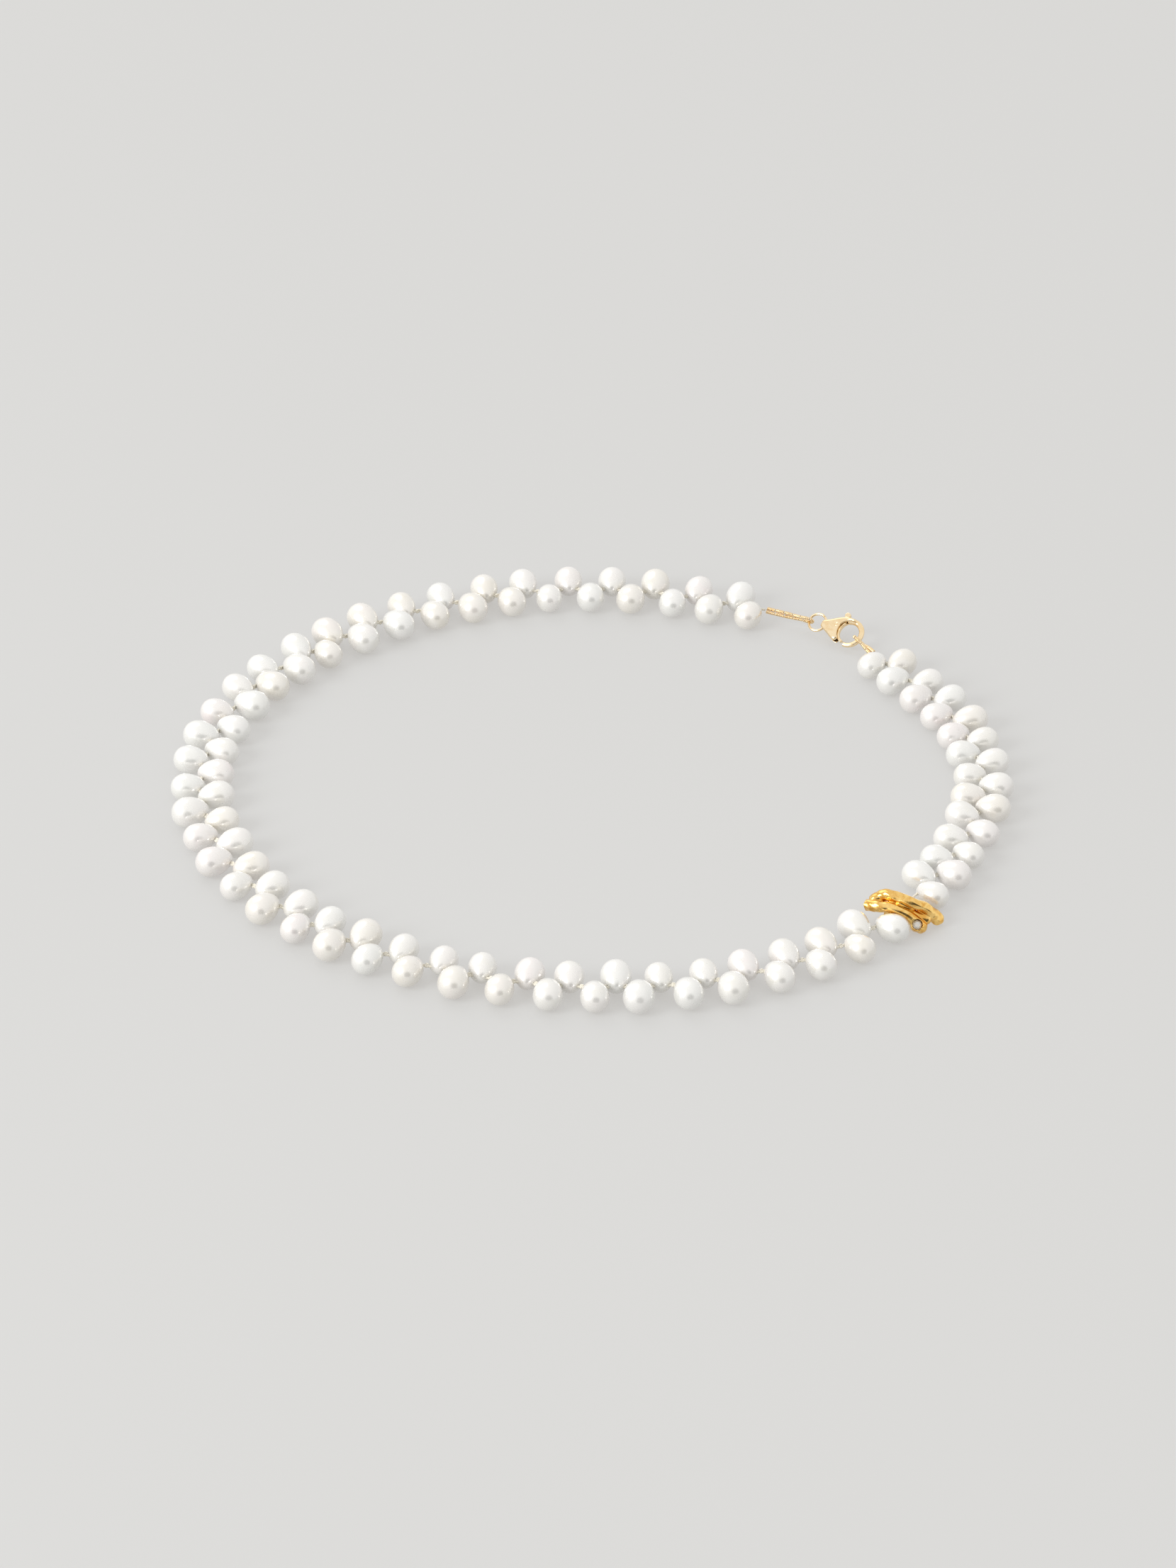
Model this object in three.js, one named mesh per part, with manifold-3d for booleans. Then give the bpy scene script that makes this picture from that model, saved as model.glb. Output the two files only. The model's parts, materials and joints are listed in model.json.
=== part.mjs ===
// A strand of top-drilled drop pearls, strung alternately outwards and inwards, closed at the
// back right by a lobster clasp and carrying one molten gold charm at the front right.
// Millimetres, +Z up. The necklace lies flat with its lowest points on z = 0.
import * as THREE from "three";
import { mergeVertices } from "three/addons/utils/BufferGeometryUtils.js";
import Module from "manifold-3d";

const wasm = await Module();
wasm.setup();

// ---- driving dimensions, mm and degrees -------------------------------------------------

// Centre line of the thread, from the gold loop on the clasp's left, round the back, the
// left side, the front and the right side, to the gold loop on the clasp's right.
const ROUTE = [
  [35.0, 56.8], [25.2, 59.8], [17.0, 62.2], [8.5, 63.7], [-0.5, 64.3], [-9.0, 63.8],
  [-17.0, 62.4], [-25.0, 60.0], [-33.0, 56.8], [-41.0, 52.4], [-52.5, 43.2], [-63.5, 31.5],
  [-70.5, 16.0], [-73.5, -1.0], [-71.0, -18.0], [-64.5, -33.5], [-54.0, -46.8], [-40.0, -57.2],
  [-24.0, -64.5], [-8.0, -68.3], [8.0, -69.0], [22.5, -67.2], [37.0, -61.8], [46.0, -56.6],
  [51.0, -52.2], [54.8, -47.9], [62.2, -38.0], [70.5, -22.5], [74.6, -7.5], [74.3, 6.0],
  [69.8, 20.0], [62.1, 32.3], [55.9, 40.8],
];
const CENTRE_SHIFT = new THREE.Vector3(-0.821, 2.54, -0.052); // puts the origin under the box's centre
const THREAD_HEIGHT = 2.75;
const THREAD_RADIUS = 0.25;

const PAIRS_BEFORE_CHARM = 38;
const PAIRS_AFTER_CHARM = 12;
const END_MARGIN = 2.2; // from the thread's end to the first drill hole
const CHARM_SPAN = 13.2; // between the drill holes on each side of the charm
const RIGHT_SIDE_CROWDING = 0.8904; // the right side's pitch over the main pitch

const PEARL_RADIUS = 2.75;
const PEARL_LENGTH = 7.0;
const PEARL_TAPER = 0.16; // how much fatter the far half is
const HOLE_INSET = 0.85; // drill hole from the narrow tip
const HOLE_RADIUS = 0.55;
const COLLAR_RADIUS = 0.95; // the knot between two pearls of one link
const SIZE_SPREAD = 0.06;
const SWING_SPREAD = 10; // degrees by which pearls stray from square to the thread

const CLASP_ROLL = 36; // the clasp leans towards the front, degrees from lying flat
const HOOK_CENTRE = new THREE.Vector3(51.4, 48.2, THREAD_HEIGHT);
const HOOK_RADIUS = 2.5; // centre line of the hook
const HOOK_WIRE = 0.52;
const HOOK_START = 108; // degrees round the hook, where it leaves the body
const HOOK_END = -94;
const BAIL_CENTRE = -5.5; // along the clasp, from the hook's centre
const BAIL_HOLE = 0.62;
const BODY_THICKNESS = 2.1;
const SLOT_THICKNESS = 1.3;
const LEVER_THICKNESS = 0.8;
const PIVOT = new THREE.Vector2(-3.0, 0.6);
const PIN_RADIUS = 0.28;
const PIN_CLEARANCE = 0.22;

const RING_RADIUS = 1.78; // centre line of the jump ring
const RING_WIRE = 0.25;
const RING_SLIT = 5; // degrees

const GIMP_WIRE = 0.35; // radius of the coil over the thread
const GIMP_LEG_SPACING = 0.39; // half the distance between the two legs

const SLEEVE_START = 2.5; // after the drill hole before the charm
const SLEEVE_LENGTH = 6.2;
const SLEEVE_RADIUS = 1.2;
const SLEEVE_BORE = 0.6;
const SLEEVE_RIBS = 7;

const PEARL_SIDES = 7;
const PEARL_RINGS = 4;
const FACET_TOLERANCE = 0.02; // slivers thinner than this are merged away

// ---- materials ---------------------------------------------------------------------------

const standard = (color, roughness, metalness) =>
  new THREE.MeshStandardMaterial({ color, roughness, metalness });
const NACRE = standard(0xf2eee6, 0.22, 0.0);
const SILK = standard(0xf0ebdf, 0.8, 0.0);
const PALE_GOLD = standard(0xf3cf94, 0.16, 1.0);
const RICH_GOLD = standard(0xe2a83c, 0.18, 1.0);
const SPRING_STEEL = standard(0xb9b9b6, 0.3, 1.0);
const CRYSTAL = standard(0xf6f3ea, 0.02, 0.0);

// ---- small helpers -----------------------------------------------------------------------

const toRadians = THREE.MathUtils.degToRad;
const UP = new THREE.Vector3(0, 0, 1);

// A repeatable number from -1 to 1 for piece `index`.
function vary(index, salt) {
  const x = Math.sin(index * 12.9898 + salt * 78.233) * 43758.5453;
  return 2 * (x - Math.floor(x)) - 1;
}

function solid(geometry, matrix) {
  const copy = geometry.clone();
  if (matrix) copy.applyMatrix4(matrix);
  copy.deleteAttribute("normal");
  copy.deleteAttribute("uv");
  const merged = mergeVertices(copy, 1e-5);
  return new wasm.Manifold(
    new wasm.Mesh({
      numProp: 3,
      vertProperties: new Float32Array(merged.attributes.position.array),
      triVerts: new Uint32Array(merged.index.array),
    }),
  );
}

function toGeometry(manifold) {
  const mesh = manifold.simplify(FACET_TOLERANCE).getMesh();
  const geometry = new THREE.BufferGeometry();
  geometry.setAttribute("position", new THREE.BufferAttribute(mesh.vertProperties, 3));
  geometry.setIndex(new THREE.BufferAttribute(mesh.triVerts, 1));
  return geometry;
}

const necklace = new THREE.Group();

function addNode(name, geometry, material) {
  const mesh = new THREE.Mesh(geometry, material);
  mesh.name = name;
  necklace.add(mesh);
}

function frame(origin, xAxis, yAxis, zAxis) {
  return new THREE.Matrix4().makeBasis(xAxis, yAxis, zAxis).setPosition(origin);
}

function regularSection(radius, sides) {
  const shape = new THREE.Shape();
  for (let i = 0; i < sides; i += 1) {
    const angle = (2 * Math.PI * i) / sides;
    const x = radius * Math.cos(angle);
    const y = radius * Math.sin(angle);
    if (i === 0) shape.moveTo(x, y);
    else shape.lineTo(x, y);
  }
  return shape;
}

function tube(path, radius, sides, steps) {
  return new THREE.ExtrudeGeometry(regularSection(radius, sides), {
    steps,
    extrudePath: path,
    bevelEnabled: false,
  });
}

function plate(shape, thickness, curveSegments = 12) {
  const geometry = new THREE.ExtrudeGeometry(shape, {
    depth: thickness,
    bevelEnabled: false,
    curveSegments,
  });
  geometry.translate(0, 0, -thickness / 2);
  return geometry;
}

// A round bar between two points.
function rod(from, to, radius, sides) {
  const geometry = new THREE.CylinderGeometry(radius, radius, from.distanceTo(to), sides);
  const axis = to.clone().sub(from).normalize();
  const turn = new THREE.Quaternion().setFromUnitVectors(new THREE.Vector3(0, 1, 0), axis);
  const middle = from.clone().add(to).multiplyScalar(0.5);
  const matrix = new THREE.Matrix4().compose(middle, turn, new THREE.Vector3(1, 1, 1));
  return solid(geometry, matrix);
}

// ---- the strand --------------------------------------------------------------------------

const strand = new THREE.CatmullRomCurve3(
  ROUTE.map(([x, y]) => new THREE.Vector3(x, y, THREAD_HEIGHT).add(CENTRE_SHIFT)),
  false,
  "centripetal",
);
strand.arcLengthDivisions = 2000;
const STRAND_LENGTH = strand.getLength();

const strandPoint = (s) => strand.getPointAt(s / STRAND_LENGTH);
const strandTangent = (s) => strand.getTangentAt(s / STRAND_LENGTH);
// The strand runs anticlockwise seen from above, so its right-hand side is the outside.
const outwards = (s) => new THREE.Vector3().crossVectors(strandTangent(s), UP).normalize();

const PEARLS_BEFORE = 2 * PAIRS_BEFORE_CHARM;
const PEARLS_AFTER = 2 * PAIRS_AFTER_CHARM;
const MAIN_PITCH =
  (STRAND_LENGTH - 2 * END_MARGIN - CHARM_SPAN) /
  (PEARLS_BEFORE - 1 + RIGHT_SIDE_CROWDING * (PEARLS_AFTER - 1));
const RIGHT_PITCH = MAIN_PITCH * RIGHT_SIDE_CROWDING;
const CHARM_START = END_MARGIN + (PEARLS_BEFORE - 1) * MAIN_PITCH;

function holePosition(index) {
  if (index < PEARLS_BEFORE) return END_MARGIN + index * MAIN_PITCH;
  return CHARM_START + CHARM_SPAN + (index - PEARLS_BEFORE) * RIGHT_PITCH;
}

// Pearls point in, out, in, out up to the charm, and out, in, out, in after it.
function pearlSide(index) {
  const startsInside = index < PEARLS_BEFORE;
  return (index % 2 === 0) === startsInside ? -1 : 1;
}

function pearlProfile(radius, length) {
  const points = [new THREE.Vector2(0, -HOLE_INSET)];
  for (let ring = 1; ring <= PEARL_RINGS; ring += 1) {
    const x = -Math.cos((Math.PI * ring) / (PEARL_RINGS + 1));
    const r = radius * Math.sqrt(1 - x * x) * (1 + PEARL_TAPER * x);
    points.push(new THREE.Vector2(r, (length * (x + 1)) / 2 - HOLE_INSET));
  }
  points.push(new THREE.Vector2(0, length - HOLE_INSET));
  return points;
}

function pearl(index) {
  const s = holePosition(index);
  const crowded = index < PEARLS_BEFORE ? 1 : 0.96;
  const scale = crowded * (1 + SIZE_SPREAD * vary(index, 1));
  const radius = PEARL_RADIUS * scale;
  const length = PEARL_LENGTH * scale;
  const swing = toRadians(SWING_SPREAD * vary(index, 2));
  const direction = outwards(s).multiplyScalar(pearlSide(index)).applyAxisAngle(UP, swing);
  // The fat end settles on the table, so its centre is one radius up.
  const reach = length - HOLE_INSET - radius;
  const drop = (radius - THREAD_HEIGHT) / reach;
  const axis = direction.setZ(drop).normalize();
  const side = new THREE.Vector3().crossVectors(axis, UP).normalize();
  const upright = new THREE.Vector3().crossVectors(side, axis);
  const geometry = new THREE.LatheGeometry(pearlProfile(radius, length), PEARL_SIDES);
  return solid(geometry, frame(strandPoint(s), upright, axis, side.negate()));
}

function pearlLink(pair) {
  const first = strandPoint(holePosition(2 * pair));
  const second = strandPoint(holePosition(2 * pair + 1));
  const along = second.clone().sub(first).normalize();
  const past = along.clone().multiplyScalar(PEARL_RADIUS);
  const collar = rod(first, second, COLLAR_RADIUS, 5);
  const drill = rod(first.clone().sub(past), second.clone().add(past), HOLE_RADIUS, 5);
  return pearl(2 * pair).add(pearl(2 * pair + 1)).add(collar).subtract(drill);
}

for (let pair = 0; pair < PAIRS_BEFORE_CHARM + PAIRS_AFTER_CHARM; pair += 1) {
  const name = `pearl_pair_${String(pair + 1).padStart(2, "0")}`;
  addNode(name, toGeometry(pearlLink(pair)), NACRE);
}

addNode("thread", tube(strand, THREAD_RADIUS, 8, 80), SILK);

// ---- the clasp ---------------------------------------------------------------------------

// Clasp axes: u from the bail to the hook, v towards the thumb nub, w out of its face.
const hookCentre = HOOK_CENTRE.clone().add(CENTRE_SHIFT);
const claspU = new THREE.Vector3(0.836, -0.549, 0).normalize();
const frontwards = new THREE.Vector3().crossVectors(claspU, UP).normalize();
const claspW = UP.clone()
  .multiplyScalar(Math.cos(toRadians(CLASP_ROLL)))
  .addScaledVector(frontwards, Math.sin(toRadians(CLASP_ROLL)));
const claspV = new THREE.Vector3().crossVectors(claspW, claspU);
const claspFrame = frame(hookCentre, claspU, claspV, claspW);
const inClasp = (u, v, w = 0) => new THREE.Vector3(u, v, w).applyMatrix4(claspFrame);

function arcPoints(radius, fromDegrees, toDegrees, count) {
  const points = [];
  for (let i = 0; i <= count; i += 1) {
    const angle = toRadians(THREE.MathUtils.lerp(fromDegrees, toDegrees, i / count));
    points.push(new THREE.Vector2(radius * Math.cos(angle), radius * Math.sin(angle)));
  }
  return points;
}

function claspBody() {
  const outline = new THREE.Shape([
    new THREE.Vector2(-6.2, -0.95),
    new THREE.Vector2(-4.6, -1.35),
    new THREE.Vector2(-3.3, -2.1),
    new THREE.Vector2(-2.55, -2.4),
    ...arcPoints(2.55, 222, 97, 12),
    new THREE.Vector2(-0.35, 3.0),
    new THREE.Vector2(-1.4, 2.95),
    new THREE.Vector2(-3.1, 2.4),
    new THREE.Vector2(-4.6, 1.5),
    new THREE.Vector2(-6.2, 0.95),
  ]);
  const hookPath = new THREE.CatmullRomCurve3(
    arcPoints(HOOK_RADIUS, HOOK_START, HOOK_END, 12).map((p) => new THREE.Vector3(p.x, p.y, 0)),
  );
  const slot = new THREE.Shape([
    new THREE.Vector2(-3.5, 3.6),
    new THREE.Vector2(-4.45, 1.3),
    new THREE.Vector2(-4.45, -0.2),
    new THREE.Vector2(-3.7, -3.0),
    new THREE.Vector2(0.0, -3.0),
    new THREE.Vector2(0.0, 1.7),
    new THREE.Vector2(-1.25, 2.1),
    new THREE.Vector2(-1.25, 3.6),
  ]);
  const pinHole = PIN_RADIUS + PIN_CLEARANCE;
  const pinFrom = new THREE.Vector3(PIVOT.x, PIVOT.y, -BODY_THICKNESS);
  const pinTo = new THREE.Vector3(PIVOT.x, PIVOT.y, BODY_THICKNESS);
  const bailFrom = new THREE.Vector3(BAIL_CENTRE, -2, 0);
  const bailTo = new THREE.Vector3(BAIL_CENTRE, 2, 0);
  return solid(plate(outline, BODY_THICKNESS))
    .subtract(solid(plate(slot, SLOT_THICKNESS)))
    .add(solid(tube(hookPath, HOOK_WIRE, 8, 20)))
    .subtract(rod(pinFrom, pinTo, pinHole, 10))
    .subtract(rod(bailFrom, bailTo, BAIL_HOLE, 10));
}

function claspLever() {
  const arm = new THREE.Shape([
    ...arcPoints(2.02, 130, 257, 12),
    ...arcPoints(2.3, 254, 251, 1),
    ...arcPoints(2.6, 247, 130, 11),
  ]);
  const heel = new THREE.Shape([
    new THREE.Vector2(-3.55, 0.1),
    new THREE.Vector2(-2.9, -0.35),
    new THREE.Vector2(-2.2, -0.3),
    new THREE.Vector2(-1.75, 1.35),
    new THREE.Vector2(-1.55, 2.9),
    new THREE.Vector2(-2.35, 2.9),
    new THREE.Vector2(-2.7, 1.95),
    new THREE.Vector2(-3.45, 1.45),
  ]);
  const nub = new THREE.Shape().absarc(-1.98, 3.3, 0.6, 0, 2 * Math.PI);
  const pinHole = PIN_RADIUS + PIN_CLEARANCE;
  const from = new THREE.Vector3(PIVOT.x, PIVOT.y, -BODY_THICKNESS);
  const to = new THREE.Vector3(PIVOT.x, PIVOT.y, BODY_THICKNESS);
  return solid(plate(arm, LEVER_THICKNESS))
    .add(solid(plate(heel, LEVER_THICKNESS)))
    .add(solid(plate(nub, LEVER_THICKNESS, 6)))
    .subtract(rod(from, to, pinHole, 10));
}

function claspPin() {
  const face = BODY_THICKNESS / 2 + 0.15;
  const headTop = face + 0.25;
  const headRadius = 0.62;
  const profile = [
    new THREE.Vector2(0, -headTop),
    new THREE.Vector2(headRadius, -headTop),
    new THREE.Vector2(headRadius, -face),
    new THREE.Vector2(PIN_RADIUS, -face),
    new THREE.Vector2(PIN_RADIUS, face),
    new THREE.Vector2(headRadius, face),
    new THREE.Vector2(headRadius, headTop),
    new THREE.Vector2(0, headTop),
  ];
  const geometry = new THREE.LatheGeometry(profile, 10);
  geometry.rotateX(Math.PI / 2);
  geometry.translate(PIVOT.x, PIVOT.y, 0);
  return geometry;
}

class Helix extends THREE.Curve {
  constructor(start, radius, length, turns) {
    super();
    Object.assign(this, { start, radius, length, turns });
  }

  getPoint(t, target = new THREE.Vector3()) {
    const angle = 2 * Math.PI * this.turns * t;
    return target.set(
      this.start.x + this.length * t,
      this.start.y + this.radius * Math.cos(angle),
      this.radius * Math.sin(angle),
    );
  }
}

const springPath = new Helix(new THREE.Vector2(-4.3, 1.0), 0.26, 0.6, 3);

function addClaspNode(name, geometry, material) {
  addNode(name, geometry.applyMatrix4(claspFrame), material);
}

addClaspNode("clasp_body", toGeometry(claspBody()), PALE_GOLD);
addClaspNode("clasp_lever", toGeometry(claspLever()), PALE_GOLD);
addClaspNode("clasp_pin", claspPin(), PALE_GOLD);
addClaspNode("clasp_spring", tube(springPath, 0.07, 5, 30), SPRING_STEEL);

// The jump ring lies in the clasp's own plane and passes through the bail.
const ringCentre = inClasp(BAIL_CENTRE - 0.1 - RING_RADIUS, 0);
const ringArc = arcPoints(RING_RADIUS, 60 + RING_SLIT / 2, 420 - RING_SLIT / 2, 28).map(
  (p) => new THREE.Vector3(p.x, p.y, 0),
);
const ringGeometry = tube(new THREE.CatmullRomCurve3(ringArc), RING_WIRE, 6, 32);
ringGeometry.applyMatrix4(frame(ringCentre, claspU, claspV, claspW));
addNode("jump_ring", ringGeometry, PALE_GOLD);

// ---- gold coil loops at the thread's two ends --------------------------------------------

// A hairpin from the last pearl round a ring's wire and back. Its legs lie side by side in
// the clasp's plane at the pearl and turn until they pass above and below the wire.
function gimpLoop(base, wirePoint, eyeHalfWidth, overshoot) {
  const along = wirePoint.clone().sub(base);
  const reach = along.length();
  along.normalize();
  const flat = claspV.clone().addScaledVector(along, -claspV.dot(along)).normalize();
  const tall = new THREE.Vector3().crossVectors(along, flat).normalize();
  const eyeCentre = reach - overshoot;
  const eyeStart = eyeCentre - 2.2;
  const leg = [
    [0, GIMP_LEG_SPACING, 0],
    [eyeStart * 0.35, GIMP_LEG_SPACING, 0.1],
    [eyeStart * 0.7, GIMP_LEG_SPACING, 0.45],
    [eyeStart, GIMP_LEG_SPACING * 1.15, 0.8],
    [eyeCentre - 1.1, eyeHalfWidth * 0.85, 1],
    [eyeCentre, eyeHalfWidth, 1],
    [eyeCentre + eyeHalfWidth * 0.72, eyeHalfWidth * 0.7, 1],
  ];
  const place = ([p, q, turn], sign) =>
    base
      .clone()
      .addScaledVector(along, p)
      .addScaledVector(flat, sign * q * Math.cos((turn * Math.PI) / 2))
      .addScaledVector(tall, sign * q * Math.sin((turn * Math.PI) / 2));
  const tip = base.clone().addScaledVector(along, eyeCentre + eyeHalfWidth);
  const points = [
    ...leg.map((row) => place(row, 1)),
    tip,
    ...leg.toReversed().map((row) => place(row, -1)),
  ];
  return tube(new THREE.CatmullRomCurve3(points, false, "centripetal"), GIMP_WIRE, 6, 36);
}

const strandStart = strandPoint(0);
const strandEnd = strandPoint(STRAND_LENGTH);
const leftWire = ringCentre.clone().addScaledVector(
  strandStart.clone().sub(ringCentre).normalize(),
  RING_RADIUS,
);
const rightWire = inClasp(
  HOOK_RADIUS * Math.cos(toRadians(-16)),
  HOOK_RADIUS * Math.sin(toRadians(-16)),
);
const BASE_GAP = 0.35; // between the thread's end and the coil's ends

function gimpBase(end, wirePoint) {
  return end.clone().addScaledVector(wirePoint.clone().sub(end).normalize(), BASE_GAP);
}

const leftBase = gimpBase(strandStart, leftWire);
const rightBase = gimpBase(strandEnd, rightWire);
addNode("gimp_loop_left", gimpLoop(leftBase, leftWire, 0.9, 0.25), PALE_GOLD);
addNode("gimp_loop_right", gimpLoop(rightBase, rightWire, 1.12, 0.25), PALE_GOLD);

// ---- the charm ---------------------------------------------------------------------------

// Two molten bars side by side across the thread, cast in one with a ribbed sleeve that the
// thread runs through.
const FRONT_BAR = [
  [51.3, -44.8, 3.75], [53.5, -45.9, 4.2], [55.7, -46.5, 4.25], [58.0, -47.1, 3.6],
  [59.8, -47.7, 2.45], [61.3, -48.2, 1.3],
];
const BACK_BAR = [
  [52.9, -44.2, 4.7], [54.9, -44.2, 5.55], [56.6, -44.9, 5.65], [58.8, -45.8, 5.3],
  [61.1, -46.1, 4.5], [63.1, -46.0, 3.1], [64.5, -46.1, 1.45],
];
const FRONT_BAR_RADIUS = 1.08;
const BACK_BAR_RADIUS = 1.05;
const BULB_RADIUS = 1.2;
const WEB_RADIUS = 0.9; // fills the groove between the bars
const SADDLE_RADIUS = 0.9;
const BEZEL_RADIUS = 1.28;
const BEZEL_OFFSET = new THREE.Vector3(-0.78, 0.05, 0.2); // from the front bar's end
const STONE_RADIUS = 0.82;
const STONE_SEAT = 0.3;

const barPath = (points) =>
  new THREE.CatmullRomCurve3(
    points.map(([x, y, z]) => new THREE.Vector3(x, y, z).add(CENTRE_SHIFT)),
    false,
    "centripetal",
  );

const frontPath = barPath(FRONT_BAR);
const backPath = barPath(BACK_BAR);
const frontEnd = frontPath.getPointAt(1);

function ball(centre, radius) {
  const geometry = new THREE.SphereGeometry(radius, 9, 6);
  return solid(geometry, new THREE.Matrix4().setPosition(centre));
}

// The bezel faces up and towards the front.
const bezelAxis = new THREE.Vector3(0.12, -0.72, 0.68).normalize();
const bezelCentre = frontEnd.clone().add(BEZEL_OFFSET);
const bezelBase = bezelCentre.clone().addScaledVector(bezelAxis, -0.35);
const bezelTop = bezelCentre.clone().addScaledVector(bezelAxis, 0.95);

function sleeve() {
  const start = CHARM_START + SLEEVE_START;
  const from = strandPoint(start);
  const to = strandPoint(start + SLEEVE_LENGTH);
  const rib = SLEEVE_LENGTH / SLEEVE_RIBS;
  const profile = [new THREE.Vector2(SLEEVE_BORE, SLEEVE_LENGTH)];
  profile.push(new THREE.Vector2(SLEEVE_BORE, 0));
  for (let i = 0; i < SLEEVE_RIBS; i += 1) {
    profile.push(new THREE.Vector2(SLEEVE_RADIUS - 0.14, rib * i));
    profile.push(new THREE.Vector2(SLEEVE_RADIUS, rib * (i + 0.5)));
  }
  profile.push(new THREE.Vector2(SLEEVE_RADIUS - 0.14, SLEEVE_LENGTH));
  profile.push(new THREE.Vector2(SLEEVE_BORE, SLEEVE_LENGTH));
  const axis = to.clone().sub(from).normalize();
  const side = new THREE.Vector3().crossVectors(axis, UP).normalize();
  const upright = new THREE.Vector3().crossVectors(side, axis);
  const geometry = new THREE.LatheGeometry(profile, 9);
  const bore = rod(
    from.clone().addScaledVector(axis, -1),
    to.clone().addScaledVector(axis, 1),
    SLEEVE_BORE,
    8,
  );
  return { ribbed: solid(geometry, frame(from, upright, axis, side.negate())), bore };
}

function charmCasting() {
  const { ribbed, bore } = sleeve();
  const seatBase = bezelCentre.clone().addScaledVector(bezelAxis, STONE_SEAT);
  const seatTop = bezelCentre.clone().addScaledVector(bezelAxis, 2);
  const webFrom = frontPath.getPointAt(0.45).lerp(backPath.getPointAt(0.45), 0.5);
  const webTo = frontPath.getPointAt(0.95).lerp(backPath.getPointAt(0.92), 0.5);
  webFrom.z -= 0.6;
  const saddle = strandPoint(CHARM_START + SLEEVE_START + 0.4 * SLEEVE_LENGTH);
  return solid(tube(frontPath, FRONT_BAR_RADIUS, 9, 10))
    .add(solid(tube(backPath, BACK_BAR_RADIUS, 9, 12)))
    .add(ball(backPath.getPointAt(1), BULB_RADIUS))
    .add(ball(backPath.getPointAt(0), BACK_BAR_RADIUS))
    .add(ball(frontEnd, BULB_RADIUS))
    .add(rod(webFrom, webTo, WEB_RADIUS, 8))
    .add(rod(saddle, backPath.getPointAt(0.33), SADDLE_RADIUS, 8))
    .add(rod(saddle, frontPath.getPointAt(0.42), SADDLE_RADIUS, 8))
    .add(rod(bezelBase, bezelTop, BEZEL_RADIUS, 12))
    .subtract(rod(seatBase, seatTop, STONE_RADIUS + 0.2, 12))
    .add(ribbed)
    .subtract(bore);
}

function charmStone() {
  const crown = 0.3;
  const profile = [
    new THREE.Vector2(0, 0),
    new THREE.Vector2(STONE_RADIUS * 0.5, 0),
    new THREE.Vector2(STONE_RADIUS, crown),
    new THREE.Vector2(STONE_RADIUS * 0.6, crown * 1.9),
    new THREE.Vector2(0, crown * 1.9),
  ];
  const geometry = new THREE.LatheGeometry(profile, 10);
  const turn = new THREE.Quaternion().setFromUnitVectors(new THREE.Vector3(0, 1, 0), bezelAxis);
  const seat = bezelCentre.clone().addScaledVector(bezelAxis, STONE_SEAT + 0.2);
  geometry.applyMatrix4(new THREE.Matrix4().compose(seat, turn, new THREE.Vector3(1, 1, 1)));
  return geometry;
}

addNode("charm", toGeometry(charmCasting()), RICH_GOLD);
addNode("charm_stone", charmStone(), CRYSTAL);

export default necklace;
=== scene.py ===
"""A strand of drop pearls with a lobster clasp, gold coil loops and a molten gold charm.

Lengths are metres in the row frame, except inside the solid-field functions, which work in
millimetres and hand their surfaces over in metres.
"""

import json
import math

import bpy
import numpy as np
from mathutils import Matrix, Vector


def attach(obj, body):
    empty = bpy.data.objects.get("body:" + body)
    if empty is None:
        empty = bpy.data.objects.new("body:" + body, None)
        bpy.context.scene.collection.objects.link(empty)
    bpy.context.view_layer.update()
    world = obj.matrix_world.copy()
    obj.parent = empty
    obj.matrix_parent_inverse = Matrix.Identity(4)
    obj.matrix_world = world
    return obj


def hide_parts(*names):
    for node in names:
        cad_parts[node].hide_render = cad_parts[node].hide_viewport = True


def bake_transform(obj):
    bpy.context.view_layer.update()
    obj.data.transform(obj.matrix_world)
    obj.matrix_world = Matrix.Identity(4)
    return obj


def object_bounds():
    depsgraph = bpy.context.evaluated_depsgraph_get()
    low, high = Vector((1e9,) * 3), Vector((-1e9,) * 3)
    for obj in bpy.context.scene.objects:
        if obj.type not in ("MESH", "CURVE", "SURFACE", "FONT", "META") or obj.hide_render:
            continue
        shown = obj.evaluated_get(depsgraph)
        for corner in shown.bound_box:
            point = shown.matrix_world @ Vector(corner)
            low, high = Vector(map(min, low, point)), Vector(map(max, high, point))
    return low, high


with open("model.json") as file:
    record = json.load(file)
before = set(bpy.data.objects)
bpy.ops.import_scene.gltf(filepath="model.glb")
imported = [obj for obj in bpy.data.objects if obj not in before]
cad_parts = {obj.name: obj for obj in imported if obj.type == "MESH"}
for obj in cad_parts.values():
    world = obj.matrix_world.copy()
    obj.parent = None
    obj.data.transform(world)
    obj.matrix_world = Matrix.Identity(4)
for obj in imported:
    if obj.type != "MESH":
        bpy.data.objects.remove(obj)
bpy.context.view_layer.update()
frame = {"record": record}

MM = 0.001
TAU = 2 * math.pi

# ---- driving dimensions ------------------------------------------------------------------

CENTRE_SHIFT = np.array([-0.000821, 0.00254, -0.000052])
THREAD_HEIGHT = 2.75 * MM
THREAD_RADIUS = 0.23 * MM
THREAD_TWIST = 4.2 / MM
KNOT_SIZE = 0.23 * MM
KNOT_DEPTH = 0.26 * MM
KNOT_THREAD_RADIUS = 0.17 * MM
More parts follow.
